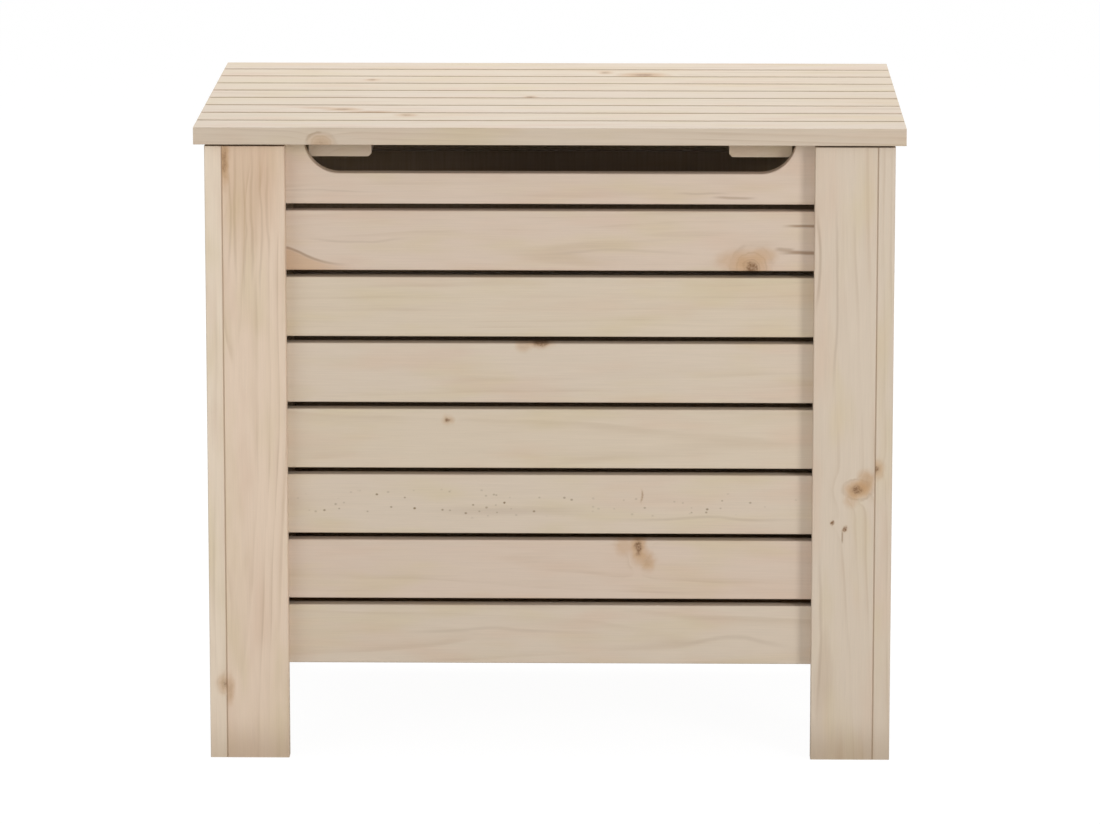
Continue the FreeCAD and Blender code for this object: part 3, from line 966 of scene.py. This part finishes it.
@dataclass
class Hinges:
    """The two hinges, with countersunk cross-head screws.

    Attributes:
        columns: Places of the screws along the hinge axis.
        leg_seat: Where the heads on the legs' leaves lie, back and up.
        lid_seat: Where the heads on the lid's leaves lie, back and up.
        head: Radius of a screw's head.
        shank: Radius of its shank.
        length: Its length over all.
        cross: Half the length of the cross-shaped recess in the head.
        arm: Half the width of its arms.
        sink: Depth of the recess.
        tip: Length of the point.
        segments: Corners of its round sections.
    """

    columns: tuple[float, ...] = (-0.307, -0.277, 0.277, 0.307)
    leg_seat: Pair = (0.2215, 0.60565)
    lid_seat: Pair = (0.23635, 0.6205)
    head: float = 2.8 * MM
    shank: float = 1.4 * MM
    length: float = 13.0 * MM
    cross: float = 1.6 * MM
    arm: float = 0.4 * MM
    sink: float = 1.0 * MM
    tip: float = 2.0 * MM
    segments: int = 24

    def dress(self, nodes: Nodes) -> None:
        """Plate the hinges with zinc, and make their screws in place of the plain ones.

        Args:
            nodes: The frame's objects by name.
        """
        steel = ZINC.material()
        for name in ("hinge_leg_leaves", "hinge_lid_leaves", "hinge_pins", "hinge_leg_screws",
                     "hinge_lid_screws"):
            put_on(nodes[name], steel)
        outward = Matrix.Rotation(math.radians(-90.0), 4, "X")
        downward = Matrix.Rotation(math.radians(180.0), 4, "X")
        for body, name, seat, turn in (("box", "hinge_leg_screws", self.leg_seat, outward),
                                       ("lid", "hinge_lid_screws", self.lid_seat, downward)):
            draw = random.Random(name)
            shape = bmesh.new()
            for x in self.columns:
                spin = Matrix.Rotation(draw.uniform(0.0, math.pi), 4, "Z")
                self._screw(shape, Matrix.Translation((x, *seat)) @ turn @ spin)
            bmesh.ops.recalc_face_normals(shape, faces=shape.faces)
            mesh = bpy.data.meshes.new(f"cross_head_{name}")
            shape.to_mesh(mesh)
            shape.free()
            mesh.materials.append(steel)
            piece = bpy.data.objects.new(f"cross_head_{name}", mesh)
            bpy.context.collection.objects.link(piece)
            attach(piece, body)
            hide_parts(name)
            LOG.info("%s: %d screws", piece.name, len(self.columns))

    def _screw(self, shape: bmesh.types.BMesh, place: Matrix) -> None:
        """Add one screw, modelled with its head up at the origin.

        Args:
            shape: The mesh that takes it.
            place: Where it goes.
        """
        others = set(shape.verts)
        grid = bmesh.ops.create_grid(shape, x_segments=3, y_segments=3, size=self.cross)["verts"]
        for vert in grid:
            for axis in (0, 1):
                if abs(vert.co[axis]) < self.cross * 0.5:
                    vert.co[axis] = math.copysign(self.arm, vert.co[axis])
        faces = {face for vert in grid for face in vert.link_faces}
        corners = [face for face in faces if min(abs(c) for c in face.calc_center_median().xy) > self.arm]
        recess = [face for face in faces if face not in corners]
        bmesh.ops.delete(shape, geom=corners, context="FACES")
        outline = [edge for edge in {e for face in recess for e in face.edges} if edge.is_boundary]
        rim = bmesh.ops.create_circle(shape, segments=self.segments, radius=self.head)["verts"]
        rim_edges = list({edge for vert in rim for edge in vert.link_edges})
        bmesh.ops.bridge_loops(shape, edges=outline + rim_edges)
        sunk = bmesh.ops.extrude_face_region(shape, geom=recess)["geom"]
        floor = [part for part in sunk if isinstance(part, bmesh.types.BMVert)]
        bmesh.ops.scale(shape, vec=(0.6, 0.6, 1.0), verts=floor)
        bmesh.ops.translate(shape, vec=(0.0, 0.0, -self.sink), verts=floor)
        bmesh.ops.delete(shape, geom=[face for face in recess if face.is_valid], context="FACES_ONLY")
        edges = rim_edges
        under = self.head - self.shank
        for radius, drop in ((self.shank / self.head, under), (1.0, self.length - under - self.tip),
                             (0.15, self.tip)):
            grown = bmesh.ops.extrude_edge_only(shape, edges=edges)["geom"]
            ring = [part for part in grown if isinstance(part, bmesh.types.BMVert)]
            edges = [part for part in grown if isinstance(part, bmesh.types.BMEdge)
                     and all(vert in ring for vert in part.verts)]
            bmesh.ops.scale(shape, vec=(radius, radius, 1.0), verts=ring)
            bmesh.ops.translate(shape, vec=(0.0, 0.0, -drop), verts=ring)
        bmesh.ops.holes_fill(shape, edges=edges, sides=self.segments)
        bmesh.ops.transform(shape, matrix=place, verts=[vert for vert in shape.verts if vert not in others])


@dataclass
class Studio:
    """Floor, world, lamps and camera.

    Attributes:
        target: Point that the camera looks at.
        distance: Distance from camera to target.
        pitch: How far the camera looks down, in degrees.
        yaw: How far it looks to the left, in degrees.
        lens: Focal length in millimetres.
        sensor: Width of the camera's sensor in millimetres.
        surround: Strength of the surroundings as a light.
        paper: Brightness of the floor where nothing shades it.
        reach: Half the side of the floor in metres.
    """

    target: Triple = (-0.0034, 0.0, 0.3085)
    distance: float = 6.017
    pitch: float = 10.90
    yaw: float = 0.917
    lens: float = 190.78
    sensor: float = 36.0
    surround: float = 0.42
    paper: float = 0.955
    reach: float = 30.0

    def build(self) -> None:
        """Set up the whole studio."""
        self._floor()
        self._world()
        self._lamp("back_softbox", (0.0, 1.7, 3.0), (0.0, 0.0, 0.6), 1.4, 53.0)
        self._lamp("rear_softbox", (0.0, 2.9, 0.17), (0.0, 0.0, 0.33), 0.2, 11.0)
        self._lamp("left_softbox", (-2.7, -3.3, 1.6), (0.0, 0.0, 0.35), 2.6, 33.0)
        self._lamp("right_softbox", (2.7, -3.3, 1.5), (0.0, 0.0, 0.35), 1.0, 56.0)
        self._lamp("front_softbox", (0.0, -4.8, 0.7), (0.0, 0.0, 0.4), 0.6, 27.0)
        self._camera()
        bpy.context.scene.view_settings.view_transform = "Standard"

    def _camera(self) -> None:
        """Put the camera where the photograph was taken from."""
        data = bpy.data.cameras.new("photo_camera")
        data.sensor_width = self.sensor
        data.lens = self.lens
        data.clip_end = 200.0
        camera = bpy.data.objects.new("photo_camera", data)
        bpy.context.collection.objects.link(camera)
        pitch, yaw = math.radians(self.pitch), math.radians(self.yaw)
        level = math.cos(pitch)
        forward = Vector((-math.sin(yaw) * level, math.cos(yaw) * level, -math.sin(pitch)))
        camera.location = Vector(self.target) - forward * self.distance
        camera.rotation_euler = forward.to_track_quat("-Z", "Y").to_euler()
        bpy.context.scene.camera = camera

    def _lamp(self, name: str, place: Triple, aim: Triple,
              size: float, power: float) -> None:
        """Hang one square softbox.

        Args:
            name: The lamp's name.
            place: Where it hangs.
            aim: What it points at.
            size: Its side in metres.
            power: Its power in watts.
        """
        data = bpy.data.lights.new(name, "AREA")
        data.size = size
        data.energy = power
        lamp = bpy.data.objects.new(name, data)
        bpy.context.collection.objects.link(lamp)
        lamp.location = place
        lamp.rotation_euler = (Vector(aim) - Vector(place)).to_track_quat("-Z", "Y").to_euler()

    def _looked_at(self, tree: Tree) -> Socket:
        """One where the camera sees a surface, straight, mirrored or through glass.

        Args:
            tree: The node tree that asks.

        Returns:
            The socket.
        """
        path = add_node(tree, "ShaderNodeLightPath").outputs
        mirrored = number(tree, "MAXIMUM", path["Is Glossy Ray"], path["Is Transmission Ray"])
        return number(tree, "MAXIMUM", path["Is Camera Ray"], mirrored)

    def _world(self) -> None:
        """Plain white surroundings, dimmer as a light than as a background."""
        world = bpy.data.worlds.new("white_surroundings")
        world.use_nodes = True
        bpy.context.scene.world = world
        tree = world.node_tree
        tree.nodes.clear()
        strength = remap(tree, self._looked_at(tree), target=(self.surround, 1.0))
        background = add_node(tree, "ShaderNodeBackground",
                              {"Color": (1.0, 1.0, 1.0, 1.0), "Strength": strength})
        add_node(tree, "ShaderNodeOutputWorld", {"Surface": background.outputs[0]})

    def _floor(self) -> None:
        """A wide white floor that keeps a soft shadow of the box."""
        mesh = bpy.data.meshes.new("studio_floor")
        shape = bmesh.new()
        bmesh.ops.create_grid(shape, x_segments=1, y_segments=1, size=self.reach)
        shape.to_mesh(mesh)
        shape.free()
        floor = bpy.data.objects.new("studio_floor", mesh)
        bpy.context.collection.objects.link(floor)
        material = bpy.data.materials.new("white_paper")
        material.use_nodes = True
        tree = material.node_tree
        tree.nodes.clear()
        white = (1.0, 1.0, 1.0, 1.0)
        glow = add_node(tree, "ShaderNodeEmission", {"Color": white, "Strength": self.paper})
        paper = add_node(tree, "ShaderNodeBsdfDiffuse", {"Color": (0.1, 0.1, 0.1, 1.0)})
        bright = add_node(tree, "ShaderNodeAddShader", {0: glow.outputs[0], 1: paper.outputs[0]})
        dim = add_node(tree, "ShaderNodeBsdfDiffuse", {"Color": linear("#BFBDB9")})
        both = add_node(tree, "ShaderNodeMixShader", {0: self._looked_at(tree), 1: dim.outputs[0],
                                                      2: bright.outputs[0]})
        add_node(tree, "ShaderNodeOutputMaterial", {"Surface": both.outputs[0]})
        mesh.materials.append(material)


FRONT_FIGURES = (
    Figure(Tone.ROSE, (14, -70), 0.2, 7, 0.015, 8,
           streaks=(Streak((-235, 571), 70, 0.8, 0.15, 3, 40),
                    Streak((182, 566), 26, 1.3, 0.4), Streak((150, 570), 34, 1, 0.2))),
    Figure(Tone.ROSE, (-12, -55), 0.22, 6.5, -0.02, 9,
           knots=(Knot((199, 496), (7.5, 8), 0.95, 3.4, 0.55, 0.25, 10, 0.15),
                  Knot((182, 503), (11, 7), 0, 2.2, 0.4, 0, 3),
                  Knot((212, 509), (8, 5), 0, 2.2, 0.35, 0, 2)),
           streaks=(Streak((-270, 498), 80, 1.4, 0.6, 19, 36, 0.5),
                    Streak((258, 538), 32, 1.3, 0.75), Streak((258, 511), 36, 2, 0.75),
                    Streak((232, 514), 12, 1.8, 0.4), Streak((70, 508), 90, 1.4, 0.12, 6, 60),
                    Streak((-190, 527), 60, 1.2, 0.15, -6, 50))),
    Figure(Tone.STRAW, (40, -60), 0.2, 6, 0.004, 5),
    Figure(Tone.CREAM, (25, -90), 0.18, 7, 0.01, 6,
           knots=(Knot((-9, 420), (10, 4), 0.9, 1.8, 0.5, 0.1, 5),
                  Knot((-26, 418), (6, 5), 0.1, 2, 0.35, 0, 0))),
    Figure(Tone.STRAW, (-6, -80), 0.2, 7.5, 0.018, 8,
           knots=(Knot((-102, 342), (3.5, 3), 0.85, 2.4, 0.4, 0.1, 4),)),
    Figure(Tone.CREAM, (4, -100), 0.16, 8, 0.01, 6,
           knots=(Knot((91.5, 265), (1.7, 7), 0.5, 1.5, 0.25, 0, 0),),
           streaks=(Streak((-40, 250), 90, 4, 0.14), Streak((160, 241), 100, 1.4, 0.16, 3)),
           specks=(Specks((-110, 257), (200, 17), 1), Specks((150, 256), (125, 15), 0.85))),
    Figure(Tone.ROSE, (10, -60), 0.22, 6.5, -0.016, 8,
           knots=(Knot((88.5, 212), (4.5, 8.5), 0.95, 2.5, 0.65, 0, 8),
                  Knot((98, 199), (5, 6.5), 0.1, 2.2, 0.5, 0, 0),
                  Knot((73, 214), (5, 5), 0, 2.6, 0.4, 0, 0))),
    Figure(Tone.CREAM, (-4, -48), 0.22, 7, 0.022, 9,
           streaks=(Streak((181, 110), 70, 2.2, 0.14, 12, 40), Streak((-60, 126), 110, 1.6, 0.12, 4))),
)

LEG_FIGURES = {
    "front_leg_left": Figure(
        Tone.HONEY, (-18, -34), 0.36, 7.5, -0.03, 16,
        knots=(Knot((604, -320), (15, 2.6), 0.7, 2.4, 0.6, 0.15, 9),
               Knot((604, -300), (75, 34), 0, 1.6, 0.3, 0, 0),
               Knot((70, -320), (9, 3), 0.15, 2.4, 0.45, 0, 3)),
        streaks=(Streak((548, -317), 72, 1.2, 0.2, 2, 40), Streak((556, -309.5), 88, 1.4, 0.24, -2, 34),
                 Streak((540, -302), 95, 1.1, 0.2, 2, 36), Streak((552, -293), 80, 1.4, 0.24, -1.5, 44),
                 Streak((546, -286), 90, 1.1, 0.2, 2, 36),
                 Streak((558, -277), 64, 1.3, 0.18, -2, 40)), foot=0.36),
    "front_leg_right": Figure(
        Tone.CREAM, (-20, -60), 0.26, 6.5, 0.02, 9,
        knots=(Knot((276, 306), (5, 7), 0.85, 2.6, 0.7, 0.1, 9, 0.25),
               Knot((285, 314), (8, 6), 0.1, 2, 0.55, 0, 0), Knot((266, 299), (6, 5), 0, 2, 0.35, 0, 0),
               Knot((242, 281), (2.6, 2.2), 1, 1.6, 0.3, 0, 2),
               Knot((236, 293.5), (3.4, 3.2), 1, 1.6, 0.3, 0, 2)),
        streaks=(Streak((228, 291), 8, 0.9, 0.6), Streak((505, 262), 60, 1.4, 0.3, 5, 40),
                 Streak((400, 255), 90, 1.2, 0.25, -4, 60), Streak((470, 281), 110, 1.3, 0.22, 3, 70),
                 Streak((130, 268), 100, 1.5, 0.2, 3, 60)), foot=0.4),
    "side_leg_front_left": Figure(
        Tone.PALE, (20, -60), 0.22, 7, -0.01, 7, foot=0.25,
        knots=(Knot((76, -237), (5, 4), 0.6, 3, 0.5, 0.1, 4, depth=-325, thick=4),)),
    "side_leg_front_right": Figure(
        Tone.CREAM, (30, -50), 0.26, 6.5, 0.01, 7, foot=0.3,
        knots=(Knot((297, -237), (5, 4), 0.9, 3, 0.5, 0.1, 4, depth=324, thick=4),)),
}

LID_FIGURES = (
    Figure(Tone.CREAM, (-30, -40), 0.28, 6.5, 0.02, 9,
           knots=(Knot((-224, -246), (9, 5), 0.15, 2, 0.45, 0.15, 6, 0.4, 624, 6.5),)),
    Figure(Tone.STRAW, (14, -60), 0.3, 7, 0.02, 9,
           knots=(Knot((-144, -154), (6, 6), 0.55, 2.6, 0.5, 0.1, 4),)),
    Figure(Tone.CREAM, (10, -50), 0.3, 7, 0.015, 8,
           knots=(Knot((-209, -114), (10, 7), 0.55, 2.6, 0.55, 0.1, 4),
                  Knot((-180, -131), (16, 4.5), 0.4, 2.2, 0.5, 0.1, 4),
                  Knot((-236, -104), (12, 5), 0.1, 2.2, 0.4, 0.1, 4))),
    Figure(Tone.STRAW, (24, -70), 0.24, 6, -0.012, 8),
    Figure(Tone.CREAM, (-12, -50), 0.3, 7.5, 0.02, 9,
           knots=(Knot((-23, -20), (5, 6.5), 0.7, 2.2, 0.4, 0.1, 4),)),
    Figure(Tone.STRAW, (8, -90), 0.26, 7, 0.015, 8),
    Figure(Tone.STRAW, (-25, -60), 0.28, 6.5, -0.02, 9,
           knots=(Knot((-190, 108), (5, 6), 0.5, 2.4, 0.4, 0.1, 4),)),
    Figure(Tone.STRAW, (-10, -70), 0.26, 7, -0.015, 8,
           knots=(Knot((92, 150), (14, 11), 0.65, 2.6, 0.6, 0.1, 5),
                  Knot((52, 168), (5, 8), 0.5, 2.4, 0.4, 0.1, 5))),
    Figure(Tone.CREAM, (12, -55), 0.26, 7, 0.018, 8),
)


def main() -> None:
    """Load the frame, dress every piece and set up the studio."""
    logging.basicConfig(level=logging.INFO, format="%(name)s: %(message)s")
    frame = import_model()
    nodes = frame["nodes"]
    pine = Pine()
    pine.build()
    Walls(FRONT_FIGURES).dress(nodes, pine)
    Legs(LEG_FIGURES).dress(nodes, pine)
    Lid(LID_FIGURES).dress(nodes, pine)
    Inside().dress(nodes, pine)
    Hinges().dress(nodes)
    Studio().build()


if __name__ == "__main__":
    main()
